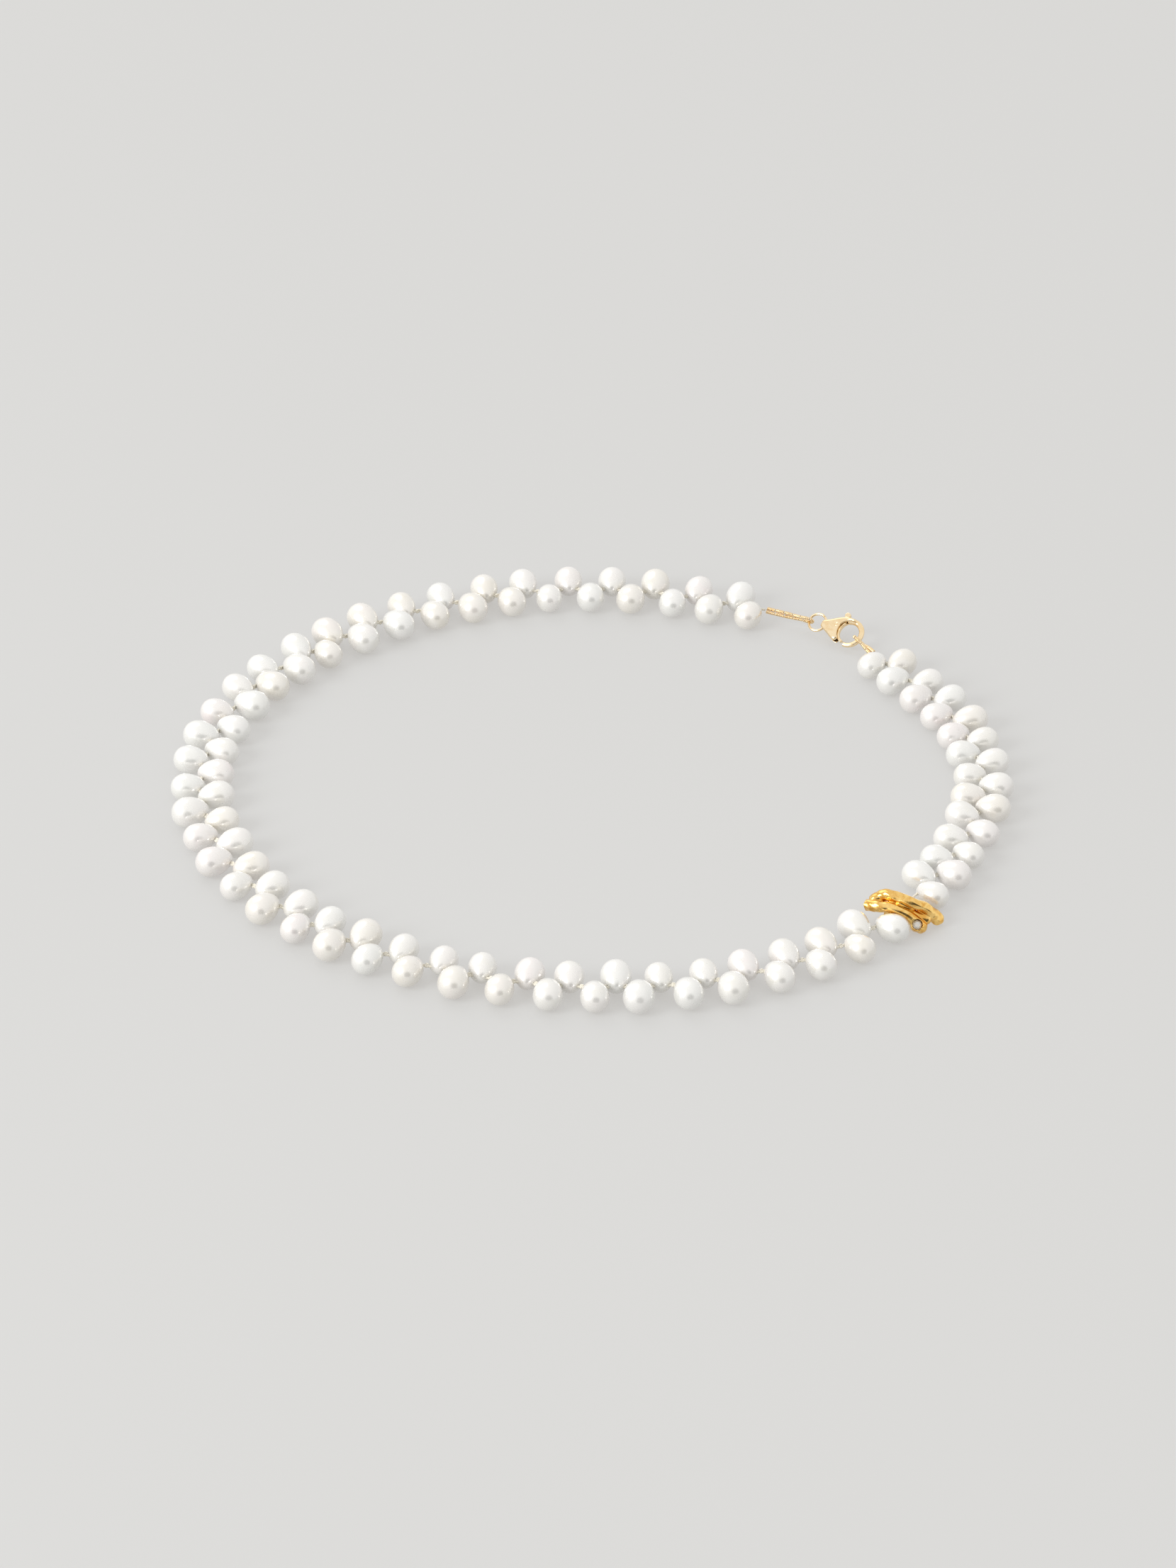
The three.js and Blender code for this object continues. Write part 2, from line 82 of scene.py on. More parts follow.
# The thread's route, from the gold loop at the clasp's left, round the back, the left side,
# the front and the right side, to the gold loop at the clasp's right.
ROUTE = [
    (0.0350, 0.0568), (0.0252, 0.0598), (0.0170, 0.0622), (0.0085, 0.0637),
    (-0.0005, 0.0643), (-0.0090, 0.0638), (-0.0170, 0.0624), (-0.0250, 0.0600),
    (-0.0330, 0.0568), (-0.0410, 0.0524), (-0.0525, 0.0432), (-0.0635, 0.0315),
    (-0.0705, 0.0160), (-0.0735, -0.0010), (-0.0710, -0.0180), (-0.0645, -0.0335),
    (-0.0540, -0.0468), (-0.0400, -0.0572), (-0.0240, -0.0645), (-0.0080, -0.0683),
    (0.0080, -0.0690), (0.0225, -0.0672), (0.0370, -0.0618), (0.0460, -0.0566),
    (0.0510, -0.0522), (0.0548, -0.0479), (0.0622, -0.0380), (0.0705, -0.0225),
    (0.0746, -0.0075), (0.0743, 0.0060), (0.0698, 0.0200), (0.0621, 0.0323),
    (0.0559, 0.0408),
]
PEARLS_BEFORE_CHARM = 76
PEARLS_AFTER_CHARM = 24
END_MARGIN = 2.2 * MM
CHARM_SPAN = 13.2 * MM
# Beyond the charm the pearls sit closer together and are a little smaller.
RIGHT_SIDE_CROWDING = 0.8904
RIGHT_SIDE_SIZE = 0.96

PEARL_RADIUS = 2.75 * MM
PEARL_LENGTH = 7.0 * MM
PEARL_TAPER = 0.16
HOLE_INSET = 0.85 * MM
HOLE_DIMPLE_WIDTH = 0.34 * MM
HOLE_DIMPLE_DEPTH = 0.3 * MM
SIZE_SPREAD = 0.06
SWING_SPREAD = math.radians(10)
PEARL_RINGS, PEARL_SIDES = 54, 72
BROAD_SWELLINGS = 5

# The camera stands low in front of the necklace, with a long lens.
CAMERA_ELEVATION = math.radians(34.5)
CAMERA_DISTANCE = 1.216
CAMERA_LENS = 146.5
LOOK_AT = CENTRE_SHIFT

HOOK_CENTRE = np.array([0.0514, 0.0482, THREAD_HEIGHT]) + CENTRE_SHIFT
CLASP_ROLL = math.radians(36)
# The clasp and its jump ring, in millimetres and degrees along the clasp's own axes: u from
# bail to hook, v to the nub, w up.
SHELL_HALF_THICKNESS = 1.05
SHELL_OPENING_RADIUS = 2.42
HOOK_RADIUS = 2.5
HOOK_START, HOOK_END = 112, -93.5
BAIL_CENTRE = -5.5
BAIL_HOLE_RADIUS = 0.5
PIVOT = (-3.0, 0.6)
PIN_RADIUS = 0.295
SHELL_PIN_HOLE_RADIUS = 0.31
GATE_PIN_HOLE_RADIUS = 0.33
SPRING_START = (-4.25, 1.0)
SPRING_LENGTH = 0.62
SPRING_RADIUS = 0.24
SPRING_WIRE = 0.06
SPRING_TURNS = 4
RING_RADIUS = 1.78
RING_WIRE = 0.25
RING_HALF_SLIT = 2.5

# The gold coil loops: where the right one hangs on the hook, and how wide their eyes are.
RIGHT_LOOP_ANGLE = -16
LEFT_EYE_HALF_WIDTH = 0.95 * MM
RIGHT_EYE_HALF_WIDTH = 1.18 * MM

# Along the thread at the charm: its sleeve and the knot before that, both from the hole of the
# last pearl before the charm, and the strand's bend, from the sleeve's far end.
SLEEVE_START = 2.5 * MM
SLEEVE_LENGTH = 6.2 * MM
KNOT_BEFORE_SLEEVE = 1.95 * MM
BEND_AFTER_SLEEVE = 0.7 * MM

FRONT_BAR = [
    (0.0513, -0.0448, 0.00375), (0.0535, -0.0459, 0.0042), (0.0557, -0.0465, 0.00425),
    (0.0580, -0.0471, 0.0036), (0.0598, -0.0477, 0.00245), (0.0613, -0.0482, 0.0013),
]
BACK_BAR = [
    (0.0529, -0.0442, 0.0047), (0.0549, -0.0442, 0.00555), (0.0566, -0.0449, 0.00565),
    (0.0588, -0.0458, 0.0053), (0.0611, -0.0461, 0.0045), (0.0631, -0.0460, 0.0031),
    (0.0645, -0.0461, 0.00145),
]
# The charm's radii, in millimetres.
FRONT_BAR_RADIUS = 1.06
BACK_BAR_RADIUS = 1.05
BACK_BULB_RADIUS = 1.18
WEB_RADIUS = 0.9
FOOT_RADIUS = 0.85
SLEEVE_RADIUS = 1.06
SLEEVE_RIBS = 7
SLEEVE_BORE_RADIUS = 0.45
BEZEL_RADIUS = 1.27
SEAT_RADIUS = 0.98
STONE_RADIUS = 0.965


# ---- camera ------------------------------------------------------------------------------

def add_camera():
    camera = bpy.data.objects.new("camera", bpy.data.cameras.new("camera"))
    back = Vector((0, -math.cos(CAMERA_ELEVATION), math.sin(CAMERA_ELEVATION)))
    camera.location = Vector(LOOK_AT) + back * CAMERA_DISTANCE
    camera.rotation_euler = (-back).to_track_quat("-Z", "Y").to_euler()
    camera.data.lens = CAMERA_LENS
    camera.data.clip_start = 0.05
    camera.data.clip_end = 20
    bpy.context.scene.collection.objects.link(camera)
    bpy.context.scene.camera = camera


add_camera()


# ---- vectors and curves ------------------------------------------------------------------

UP = np.array([0.0, 0.0, 1.0])


def unit(vector):
    return vector / np.linalg.norm(vector)


def vary(index, salt):
    """A repeatable number from -1 to 1 for piece `index`."""
    x = math.sin(index * 12.9898 + salt * 78.233) * 43758.5453
    return 2 * (x - math.floor(x)) - 1


def curve_points(points, per_span=24):
    """Points along the centripetal Catmull-Rom curve through `points`."""
    p = np.array(points, float)
    p = np.vstack([2 * p[0] - p[1], p, 2 * p[-1] - p[-2]])
    line = []
    for i in range(1, len(p) - 2):
        a, b, c = (math.sqrt(np.linalg.norm(p[j + 1] - p[j])) for j in (i - 1, i, i + 1))
        start = (p[i] - p[i - 1]) / a - (p[i + 1] - p[i - 1]) / (a + b)
        start = (start + (p[i + 1] - p[i]) / b) * b
        end = (p[i + 1] - p[i]) / b - (p[i + 2] - p[i]) / (b + c)
        end = (end + (p[i + 2] - p[i + 1]) / c) * b
        for t in np.linspace(0, 1, per_span, endpoint=False):
            line.append(
                p[i] + start * t
                + (3 * (p[i + 1] - p[i]) - 2 * start - end) * t**2
                + (2 * (p[i] - p[i + 1]) + start + end) * t**3
            )
    line.append(p[-2])
    return np.array(line)


class Path:
    """A polyline that is read by its length."""

    def __init__(self, line):
        self.line = line
        steps = np.linalg.norm(np.diff(line, axis=0), axis=1)
        self.lengths = np.concatenate([[0], np.cumsum(steps)])
        self.length = self.lengths[-1]

    def at(self, s):
        return np.stack([np.interp(s, self.lengths, self.line[:, a]) for a in range(3)], -1)

    def tangent(self, s):
        step = 0.05 * MM
        low = np.clip(s - step, 0, self.length)
        high = np.clip(s + step, 0, self.length)
        return unit(self.at(high) - self.at(low))

    def part(self, start, end, spacing):
        count = max(2, round((end - start) / spacing) + 1)
        return self.at(np.linspace(start, end, count))


def ring_frames(line):
    """Tangents and two normals along a polyline that don't spin about it."""
    tangents = np.gradient(line, axis=0)
    tangents /= np.linalg.norm(tangents, axis=1)[:, None]
    normal = np.cross(tangents[0], UP)
    if np.linalg.norm(normal) < 1e-3:
        normal = np.cross(tangents[0], [1.0, 0.0, 0.0])
    normals = []
    for tangent in tangents:
        normal = unit(normal - tangent * np.dot(normal, tangent))
        normals.append(normal)
    normals = np.array(normals)
    return tangents, normals, np.cross(tangents, normals)


# ---- meshes ------------------------------------------------------------------------------

def mesh_object(name, vertices, faces, material, smooth=True):
    mesh = bpy.data.meshes.new(name)
    mesh.from_pydata(np.asarray(vertices).tolist(), [], [list(map(int, f)) for f in faces])
    mesh.update()
    if smooth:
        mesh.shade_smooth()
    mesh.materials.append(material)
    piece = bpy.data.objects.new(name, mesh)
    bpy.context.scene.collection.objects.link(piece)
    return piece


def tube_faces(rings, sides):
    """Quads between neighbouring rings, and a fan at each end to the two vertices after them."""
    ring, side = np.meshgrid(np.arange(rings - 1), np.arange(sides), indexing="ij")
    following = (side + 1) % sides
    corners = [ring * sides + side, ring * sides + following,
               (ring + 1) * sides + following, (ring + 1) * sides + side]
    faces = np.stack(corners, -1).reshape(-1, 4).tolist()
    last_ring, first_end = (rings - 1) * sides, rings * sides
    for i in range(sides):
        j = (i + 1) % sides
        faces.append([j, i, first_end])
        faces.append([last_ring + i, last_ring + j, first_end + 1])
    return faces


def sweep(line, radius, sides, lobes=0, depth=0.0, twist=0.0):
    """A closed tube along a polyline, plain or with twisted lobes, as (vertices, faces)."""
    _, across, over = ring_frames(line)
    radii = np.broadcast_to(radius, len(line))
    travelled = Path(line).lengths
    angles = np.arange(sides) * TAU / sides
    turned = angles[None, :] - twist * travelled[:, None]
    size = radii[:, None] * (1 + depth * np.cos(lobes * turned))
    rings = (line[:, None] + (size * np.cos(angles))[..., None] * across[:, None]
             + (size * np.sin(angles))[..., None] * over[:, None])
    vertices = np.vstack([rings.reshape(-1, 3), line[:1], line[-1:]])
    return vertices, tube_faces(len(line), sides)


def joined(parts):
    """Several (vertices, faces) as one."""
    vertices, faces, offset = [], [], 0
    for points, polygons in parts:
        vertices.append(points)
        faces += [[i + offset for i in polygon] for polygon in polygons]
        offset += len(points)
    return np.vstack(vertices), faces


def field_values(field, grid):
    chunks = np.array_split(grid, 1 + len(grid) // 200000)
    return np.concatenate([field(c) for c in chunks])


def band_values(field, axes, step, stride=4):
    """The field on a grid: worked out in full near its surface, and coarsely elsewhere."""
    coarse = [a[0] + step * (stride * np.arange(len(a) // stride + 1) + stride / 2 - 0.5)
              for a in axes]
    corners = np.stack(np.meshgrid(*coarse, indexing="ij"), -1).reshape(-1, 3)
    values = field_values(field, corners).reshape([len(c) for c in coarse])
    for axis in range(3):
        values = np.repeat(values, stride, axis)
    values = values[tuple(slice(0, len(a)) for a in axes)].copy()
    near = np.argwhere(np.abs(values) < 1.6 * stride * step)
    points = np.stack([axes[a][near[:, a]] for a in range(3)], -1)
    values[tuple(near.T)] = field_values(field, points)
    return values


def surface(field, low, high, step):
    """The zero surface of a solid's distance field, as quads, by surface nets."""
    axes = [np.arange(low[a] - 2 * step, high[a] + 3 * step, step) for a in range(3)]
    values = band_values(field, axes, step)
    inside = values < 0
    cells = tuple(len(a) - 1 for a in axes)
    total = np.zeros(cells + (3,))
    count = np.zeros(cells)
    crossings = []
    for axis in range(3):
        others = [(axis + 1) % 3, (axis + 2) % 3]
        near = np.take(values, range(cells[axis]), axis)
        far = np.take(values, range(1, cells[axis] + 1), axis)
        crossing = (near < 0) != (far < 0)
        share = np.where(crossing, near / np.where(near == far, 1, near - far), 0)
        crossings.append(crossing)
        for b in (0, 1):
            for c in (0, 1):
                pick = [slice(None)] * 3
                pick[others[0]] = slice(b, b + cells[others[0]])
                pick[others[1]] = slice(c, c + cells[others[1]])
                hit = crossing[tuple(pick)]
                count += hit
                total[..., axis] += hit * share[tuple(pick)]
                total[..., others[0]] += hit * b
                total[..., others[1]] += hit * c
    active = count > 0
    numbers = np.full(cells, -1)
    numbers[active] = np.arange(active.sum())
    corner = np.argwhere(active)
    origin = np.array([a[0] for a in axes])
    points = origin + (corner + total[active] / count[active][:, None]) * step
    quads = []
    for axis in range(3):
        one, two = (axis + 1) % 3, (axis + 2) % 3
        edge = np.argwhere(crossings[axis])
        keep = (edge[:, one] > 0) & (edge[:, two] > 0)
        keep &= (edge[:, one] < cells[one]) & (edge[:, two] < cells[two])
        edge = edge[keep]
        quad = []
        for b, c in ((1, 1), (0, 1), (0, 0), (1, 0)):
            cell = edge.copy()
            cell[:, one] -= b
            cell[:, two] -= c
            quad.append(numbers[tuple(cell.T)])
        quad = np.stack(quad, -1)
        leaving = inside[tuple(edge.T)]
        quads.append(np.where(leaving[:, None], quad, quad[:, ::-1]))
    for _ in range(3):
        slope = np.stack([
            field(points + np.eye(3)[a] * 0.2 * step) - field(points - np.eye(3)[a] * 0.2 * step)
            for a in range(3)
        ], -1) / (0.4 * step)
        size = np.maximum((slope**2).sum(1), 0.2)
        move = slope * (field(points) / size)[:, None]
        reach = np.linalg.norm(move, axis=1)
        points -= move * np.minimum(1, 0.4 * step / np.maximum(reach, 1e-9))[:, None]
    return points, np.vstack(quads)


# ---- distance fields, millimetres --------------------------------------------------------

def smooth_union(a, b, blend):
    h = np.clip(0.5 + 0.5 * (b - a) / blend, 0, 1)
    return b + (a - b) * h - blend * h * (1 - h)


def smooth_cut(a, b, blend):
    """a with b taken away, its new edges rounded."""
    return -smooth_union(-a, b, blend)


def bar_field(points, line, radii):
    """A round bar along a polyline, with rounded ends."""
    best = np.full(len(points), 1e9)
    for i in range(len(line) - 1):
        along = line[i + 1] - line[i]
        t = np.clip((points - line[i]) @ along / (along @ along), 0, 1)
        gap = points - line[i] - t[:, None] * along
        distance = np.sqrt((gap**2).sum(1)) - (radii[i] + t * (radii[i + 1] - radii[i]))
        best = np.minimum(best, distance)
    return best


def cylinder_field(points, start, end, radius, rounding=0.0):
    axis = unit(end - start)
    middle = (start + end) / 2
    along = (points - middle) @ axis
    gap = points - middle - along[:, None] * axis
    side = np.sqrt((gap**2).sum(1)) - radius + rounding
    top = np.abs(along) - np.linalg.norm(end - start) / 2 + rounding
    outer = np.sqrt(np.maximum(side, 0) ** 2 + np.maximum(top, 0) ** 2)
    return np.minimum(np.maximum(side, top), 0) + outer - rounding


def outline_field(points, outline):
    """Signed distance in the plane to a closed outline."""
    x = points[:, :2]
    nearest = np.full(len(x), 1e9)
    sign = np.ones(len(x))
    for i in range(len(outline)):
        a, b = outline[i], outline[i - 1]
        edge = b - a
        gap = x - a
        t = np.clip(gap @ edge / (edge @ edge), 0, 1)
        nearest = np.minimum(nearest, ((gap - t[:, None] * edge) ** 2).sum(1))
        above, below = x[:, 1] >= a[1], x[:, 1] < b[1]
        left = edge[0] * gap[:, 1] > edge[1] * gap[:, 0]
        flip = (above & below & left) | (~above & ~below & ~left)
        sign = np.where(flip, -sign, sign)
    return sign * np.sqrt(nearest)


def plate_field(points, flat, half_thickness, rounding):
    side = flat + rounding
    top = np.abs(points[:, 2]) - half_thickness + rounding
    outer = np.sqrt(np.maximum(side, 0) ** 2 + np.maximum(top, 0) ** 2)
    return np.minimum(np.maximum(side, top), 0) + outer - rounding


def arc(radius, start, end, count):
    angles = np.radians(np.linspace(start, end, count))
    return np.stack([radius * np.cos(angles), radius * np.sin(angles)], -1)


# ---- materials ---------------------------------------------------------------------------

def new_material(name):
    material = bpy.data.materials.new(name)
    material.use_nodes = True
    tree = material.node_tree
    return material, tree, tree.nodes["Principled BSDF"]


def set_sockets(shader, values):
    for name, value in values.items():
        shader.inputs[name].default_value = value


def noise(tree, scale, detail=4.0, roughness=0.5, distortion=0.0):
    coordinates = tree.nodes.new("ShaderNodeTexCoord")
    texture = tree.nodes.new("ShaderNodeTexNoise")
    texture.inputs["Scale"].default_value = scale
    texture.inputs["Detail"].default_value = detail
    texture.inputs["Roughness"].default_value = roughness
    texture.inputs["Distortion"].default_value = distortion
    tree.links.new(coordinates.outputs["Object"], texture.inputs["Vector"])
    return texture.outputs["Fac"]


def ramp(tree, source, stops):
    node = tree.nodes.new("ShaderNodeValToRGB")
    while len(node.color_ramp.elements) < len(stops):
        node.color_ramp.elements.new(0.5)
    for element, (position, color) in zip(node.color_ramp.elements, stops):
        element.position = position
        element.color = (*color, 1)
    tree.links.new(source, node.inputs["Fac"])
    return node.outputs["Color"]


def spread(tree, source, low, high, from_low=0.3, from_high=0.7):
    node = tree.nodes.new("ShaderNodeMapRange")
    node.inputs["From Min"].default_value = from_low
    node.inputs["From Max"].default_value = from_high
    node.inputs["To Min"].default_value = low
    node.inputs["To Max"].default_value = high
    tree.links.new(source, node.inputs["Value"])
    return node.outputs["Result"]


def bump(tree, shader, height, strength, distance):
    node = tree.nodes.new("ShaderNodeBump")
    node.inputs["Strength"].default_value = strength
    node.inputs["Distance"].default_value = distance
    tree.links.new(height, node.inputs["Height"])
    tree.links.new(node.outputs["Normal"], shader.inputs["Normal"])


def nacre(name, warm, cool, pink):
    """Layers of nacre: a pale body with cloudy overtones under a soft glossy skin."""
    material, tree, shader = new_material(name)
    set_sockets(shader, {
        "IOR": 1.6,
        "Coat Weight": 1.0,
        "Coat Roughness": 0.15,
        "Coat IOR": 2.1,
        "Metallic": 0.25,
    })
    clouds = noise(tree, 210, detail=3, distortion=0.6)
    color = ramp(tree, clouds, [(0.3, warm), (0.5, cool), (0.7, pink)])
    tree.links.new(color, shader.inputs["Base Color"])
    skin = spread(tree, noise(tree, 500, detail=2), 0.24, 0.34)
    tree.links.new(skin, shader.inputs["Roughness"])
    return material


def gold(name, color, painted_reflection_color, roughness, wave, relief):
    """Polished gold, its base colour streaked here and there with a deeper colour that is painted
    dark reflection, with small waves in its surface.
    """
    material, tree, shader = new_material(name)
    set_sockets(shader, {"Metallic": 1.0, "Coat Weight": 0.15, "Coat Roughness": 0.05})
    # The darker colour that this noise streaks through the base colour is a painted dark
    # reflection, not a tint of the metal.
    painted_reflection_tint = ramp(tree, noise(tree, 520, detail=4, distortion=1.2), [(0.36, painted_reflection_color), (0.6, color)])
    tree.links.new(painted_reflection_tint, shader.inputs["Base Color"])
    handled = noise(tree, 2600, detail=6, roughness=0.65)
    wear = spread(tree, handled, roughness * 0.7, roughness * 1.6)
    tree.links.new(wear, shader.inputs["Roughness"])
    waves = noise(tree, wave, detail=5, roughness=0.6)
    bump(tree, shader, waves, strength=relief, distance=0.06 * MM)
    return material


def silk():
    material, tree, shader = new_material("silk")
    set_sockets(shader, {"Sheen Weight": 0.5, "Sheen Roughness": 0.4})
    fibres = noise(tree, 6000, detail=6, roughness=0.7)
    color = ramp(tree, fibres, [(0.3, (0.74, 0.69, 0.56)), (0.7, (0.93, 0.9, 0.82))])
    tree.links.new(color, shader.inputs["Base Color"])
    tree.links.new(spread(tree, fibres, 0.55, 0.8), shader.inputs["Roughness"])
    bump(tree, shader, fibres, strength=0.4, distance=0.04 * MM)
    return material


def spring_steel():
    material, tree, shader = new_material("spring_steel")
    set_sockets(shader, {"Metallic": 1.0})
    drawn = noise(tree, 5200, detail=5)
    color = ramp(tree, drawn, [(0.3, (0.52, 0.52, 0.5)), (0.7, (0.72, 0.72, 0.7))])
    tree.links.new(color, shader.inputs["Base Color"])
    tree.links.new(spread(tree, drawn, 0.16, 0.34), shader.inputs["Roughness"])
    bump(tree, shader, drawn, strength=0.2, distance=0.02 * MM)
    return material


def crystal():
    material, tree, shader = new_material("crystal")
    set_sockets(shader, {"IOR": 2.4, "Transmission Weight": 0.35, "Coat Weight": 0.6})
    inside = noise(tree, 3000, detail=2)
    color = ramp(tree, inside, [(0.35, (0.98, 0.93, 0.8)), (0.65, (1.0, 0.99, 0.95))])
    tree.links.new(color, shader.inputs["Base Color"])
    tree.links.new(spread(tree, inside, 0.0, 0.05), shader.inputs["Roughness"])
    return material


NACRES = [
    nacre("nacre_white", (0.8, 0.785, 0.735), (0.82, 0.81, 0.78), (0.82, 0.795, 0.77)),
    nacre("nacre_cream", (0.8, 0.765, 0.69), (0.815, 0.79, 0.74), (0.82, 0.78, 0.74)),
    nacre("nacre_rose", (0.81, 0.775, 0.74), (0.82, 0.795, 0.775), (0.825, 0.765, 0.75)),
    nacre("nacre_cool", (0.795, 0.79, 0.755), (0.81, 0.81, 0.785), (0.815, 0.8, 0.78)),
]
SILK = silk()
# The second colour of each gold is painted dark reflection, streaked through its base colour.
PALE_GOLD = gold("pale_gold", color=(0.97, 0.79, 0.52), painted_reflection_color=(0.92, 0.7, 0.41),
                 roughness=0.1, wave=1700, relief=0.14)
RICH_GOLD = gold("rich_gold", color=(0.97, 0.66, 0.23), painted_reflection_color=(0.76, 0.4, 0.08),
                 roughness=0.12, wave=1600, relief=0.12)
SPRING_STEEL = spring_steel()
CRYSTAL = crystal()

# ---- the strand's layout -----------------------------------------------------------------

route_points = [np.array([x, y, THREAD_HEIGHT]) + CENTRE_SHIFT for x, y in ROUTE]
strand = Path(curve_points(route_points, 60))
MAIN_PITCH = (strand.length - 2 * END_MARGIN - CHARM_SPAN) / (
    PEARLS_BEFORE_CHARM - 1 + RIGHT_SIDE_CROWDING * (PEARLS_AFTER_CHARM - 1)
)
CHARM_START = END_MARGIN + (PEARLS_BEFORE_CHARM - 1) * MAIN_PITCH
PEARLS = PEARLS_BEFORE_CHARM + PEARLS_AFTER_CHARM

body_of_node = {
    node: body
    for body, nodes in frame["record"]["behaviour"]["bodies"].items()
    for node in nodes
}


def hole_position(index):
    if index < PEARLS_BEFORE_CHARM:
        return END_MARGIN + index * MAIN_PITCH
    beyond = (index - PEARLS_BEFORE_CHARM) * MAIN_PITCH * RIGHT_SIDE_CROWDING
    return CHARM_START + CHARM_SPAN + beyond


def pair_node(index):
    return f"pearl_pair_{index // 2 + 1:02d}"


# ---- pearls ------------------------------------------------------------------------------

def pearl_axes(index):
    """The pearl's hole, its axis from the narrow tip outwards, radius and length."""
    before = index < PEARLS_BEFORE_CHARM
    s = hole_position(index)
    scale = (1 if before else RIGHT_SIDE_SIZE) * (1 + SIZE_SPREAD * vary(index, 1))
    radius, length = PEARL_RADIUS * scale, PEARL_LENGTH * scale
    side = -1 if (index % 2 == 0) == before else 1
    swing = SWING_SPREAD * vary(index, 2)
    direction = side * np.cross(strand.tangent(s), UP)
    turn = Matrix.Rotation(swing, 3, "Z")
    axis = np.array(turn @ Vector(direction))
    axis[2] = (radius - THREAD_HEIGHT) / (length - HOLE_INSET - radius)
    return strand.at(s), unit(axis), strand.tangent(s), radius, length


def pearl(index):
    """A drop pearl, slightly out of true, with a dimple at each end of its drill hole."""
    hole, axis, thread, radius, length = pearl_axes(index)
    random = np.random.default_rng(4100 + index)
    x = -np.cos(np.linspace(0, math.pi, PEARL_RINGS + 2)[1:-1])
    profile = radius * np.sqrt(1 - x**2) * (1 + PEARL_TAPER * x)
    across = unit(np.cross(axis, UP))
    over = np.cross(across, axis)
    angles = np.arange(PEARL_SIDES) * TAU / PEARL_SIDES
    spokes = np.cos(angles)[:, None] * across + np.sin(angles)[:, None] * over
    along = length * (x + 1) / 2 - HOLE_INSET
    body = along[:, None, None] * axis + profile[:, None, None] * spokes
    points = np.vstack([body.reshape(-1, 3), [-HOLE_INSET * axis], [(length - HOLE_INSET) * axis]])
    centre = (length / 2 - HOLE_INSET) * axis
    outwards = points - centre
    normals = outwards / np.linalg.norm(outwards, axis=1)[:, None]
    swell = np.zeros(len(points))
    for _ in range(BROAD_SWELLINGS):
        towards = unit(random.normal(size=3))
        width = random.uniform(1.5, 5)
        swell += random.uniform(-0.028, 0.02) * np.exp(width * (normals @ towards - 1))
    for _ in range(random.integers(2, 5)):
        towards = unit(random.normal(size=3))
        swell -= random.uniform(0.003, 0.01) * np.exp(90 * (normals @ towards - 1))
    station = (outwards @ axis) / length
    ripples = 0.0035 * max(0.0, random.uniform(-1, 1))
    phase, pace = random.uniform(0, TAU), random.uniform(16, 26)
    swell += ripples * np.cos(pace * station + phase)
    points = centre + outwards * (1 + swell)[:, None]
    reach = points @ thread
    off_axis = points - reach[:, None] * thread
    near = np.exp(-((off_axis**2).sum(1)) / HOLE_DIMPLE_WIDTH**2)
    points -= (np.sign(reach) * near * HOLE_DIMPLE_DEPTH)[:, None] * thread
    faces = tube_faces(PEARL_RINGS, PEARL_SIDES)
    tone = NACRES[int(random.choice(4, p=[0.4, 0.25, 0.15, 0.2]))]
    piece = mesh_object(f"pearl_{index + 1:03d}", points + hole, faces, tone)
    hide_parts(pair_node(index))
    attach(piece, body_of_node[pair_node(index)])


for number in range(PEARLS):
    pearl(number)


# ---- thread ------------------------------------------------------------------------------

def knot(s):
    """A small overhand knot that keeps two pearls apart."""
    centre, tangent = strand.at(s), strand.tangent(s)
    across = np.cross(tangent, UP)
    t = np.linspace(0, TAU, 40)
    loop = (np.cos(2 * t) * 0.5 + np.cos(t))[:, None] * across
    loop = loop + (np.sin(t) - 0.5 * np.sin(2 * t))[:, None] * UP
    loop = loop * KNOT_SIZE + (KNOT_DEPTH * np.sin(3 * t))[:, None] * tangent
    return sweep(centre + loop, KNOT_THREAD_RADIUS, 8, lobes=3, depth=0.12, twist=9 / MM)


def thread_stretch(number, body, start, end, knots):
    """The thread in one stretch of the strand, with its knots."""
    stretch = sweep(strand.part(start, end, 0.22 * MM), THREAD_RADIUS, 12,
                    lobes=3, depth=0.14, twist=THREAD_TWIST)
    vertices, faces = joined([stretch] + [knot(s) for s in knots])
    piece = mesh_object(f"silk_thread_{number:02d}", vertices, faces, SILK)
    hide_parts("thread")
    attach(piece, body)


def strand_bodies():
    """Each stretch of the strand that moves as one: its body and its pearls' numbers."""
    stretches = {}
    for index in range(PEARLS):
        stretches.setdefault(body_of_node[pair_node(index)], []).append(index)
    return sorted(stretches.items(), key=lambda item: item[1][0])


def add_thread():
    gaps = [(hole_position(i) + hole_position(i + 1)) / 2 for i in range(PEARLS - 1)]
    charm_gap = PEARLS_BEFORE_CHARM - 1
    gaps[charm_gap] = CHARM_START + SLEEVE_START + SLEEVE_LENGTH + BEND_AFTER_SLEEVE
    for number, (body, members) in enumerate(strand_bodies(), 1):
        first, last = members[0], members[-1]
        start = gaps[first - 1] if first else 0
        end = gaps[last] if last < PEARLS - 1 else strand.length
        knots = [gaps[i] for i in range(first, last) if i != charm_gap]
        if last == charm_gap:
            knots.append(CHARM_START + KNOT_BEFORE_SLEEVE)
        elif last < PEARLS - 1:
            knots.append(end)
        thread_stretch(number, body, start, end, knots)


add_thread()

# ---- clasp -------------------------------------------------------------------------------

CLASP_U = unit(np.array([0.836, -0.549, 0.0]))
CLASP_W = math.cos(CLASP_ROLL) * UP + math.sin(CLASP_ROLL) * np.cross(CLASP_U, UP)
CLASP_V = np.cross(CLASP_W, CLASP_U)


